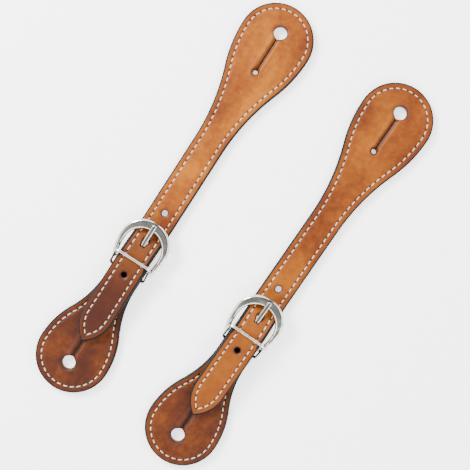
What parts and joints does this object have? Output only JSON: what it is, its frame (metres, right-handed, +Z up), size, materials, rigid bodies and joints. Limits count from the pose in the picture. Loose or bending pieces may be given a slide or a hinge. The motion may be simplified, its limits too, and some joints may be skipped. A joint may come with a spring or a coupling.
{
  "type": "spur strap pair",
  "caption": "Lined leather spur straps with rounded ends slotted for spur buttons, each buckled by a horseshoe buckle, tongue and wire keeper.",
  "frame": {"origin": "bottom centre of the pair, on the surface it lies on, midway between the two straps and between their ends", "axes": "+Y along the straps from the short straps to the long straps, +Z up out of the surface, +X from the left strap to the right one"},
  "size_m": [0.1282, 0.2614, 0.0133],
  "materials": {
    "tan_leather": "lightly waxed tan russet bridle leather, black-dyed edges",
    "russet_leather": "waxed red-brown bridle leather, black-dyed edges",
    "lining_leather": "smooth matte lining leather, black-dyed edges",
    "thread": "heavy ivory waxed thread",
    "nickel": "polished nickel plate"
  },
  "bodies": {
    "left_long_strap": {"left_long_strap_leather": "tan_leather", "left_long_strap_lining": "lining_leather", "left_long_strap_thread": "thread"},
    "left_buckle": {"left_buckle_frame": "nickel"},
    "left_tongue": {"left_buckle_tongue": "nickel"},
    "left_short_strap": {"left_short_strap_leather": "russet_leather", "left_short_strap_lining": "lining_leather", "left_short_strap_thread": "thread", "left_chape_tack": "thread"},
    "left_keeper": {"left_keeper_loop": "nickel"},
    "right_long_strap": {"right_long_strap_leather": "tan_leather", "right_long_strap_lining": "lining_leather", "right_long_strap_thread": "thread"},
    "right_buckle": {"right_buckle_frame": "nickel"},
    "right_tongue": {"right_buckle_tongue": "nickel"},
    "right_short_strap": {"right_short_strap_leather": "russet_leather", "right_short_strap_lining": "lining_leather", "right_short_strap_thread": "thread", "right_chape_tack": "thread"},
    "right_keeper": {"right_keeper_loop": "nickel"}
  },
  "joints": [
    {"name": "left_draw", "type": "slide", "parent": "left_long_strap", "child": "left_buckle", "axis": [-0.0169, 0.9999, 0], "range_m": [0, 0.0015]},
    {"name": "left_tongue_lift", "type": "hinge", "parent": "left_buckle", "child": "left_tongue", "pos_m": [-0.03922, -0.04594, 0.00335], "axis": [0.9999, 0.0169, 0], "range_deg": [0, 3]},
    {"name": "left_short_strap_swing", "type": "hinge", "parent": "left_buckle", "child": "left_short_strap", "pos_m": [-0.03922, -0.04594, 0.00335], "axis": [0.9999, 0.0169, 0], "range_deg": [0, 25]},
    {"name": "left_keeper_swing", "type": "hinge", "parent": "left_short_strap", "child": "left_keeper", "pos_m": [-0.03913, -0.05144, 0.00312], "axis": [0.9999, 0.0169, 0], "range_deg": [0, 40]},
    {"name": "right_draw", "type": "slide", "parent": "right_long_strap", "child": "right_buckle", "axis": [0.0169, 0.9999, 0], "range_m": [0, 0.0015]},
    {"name": "right_tongue_lift", "type": "hinge", "parent": "right_buckle", "child": "right_tongue", "pos_m": [0.03922, -0.04594, 0.00335], "axis": [0.9999, -0.0169, 0], "range_deg": [0, 3]},
    {"name": "right_short_strap_swing", "type": "hinge", "parent": "right_buckle", "child": "right_short_strap", "pos_m": [0.03922, -0.04594, 0.00335], "axis": [0.9999, -0.0169, 0], "range_deg": [0, 25]},
    {"name": "right_keeper_swing", "type": "hinge", "parent": "right_short_strap", "child": "right_keeper", "pos_m": [0.03913, -0.05144, 0.00312], "axis": [0.9999, -0.0169, 0], "range_deg": [0, 40]},
    {"name": "pair_lift", "type": "slide", "parent": "left_long_strap", "child": "right_long_strap", "axis": [0, 0, 1], "range_m": [0, 0.06]}
  ]
}
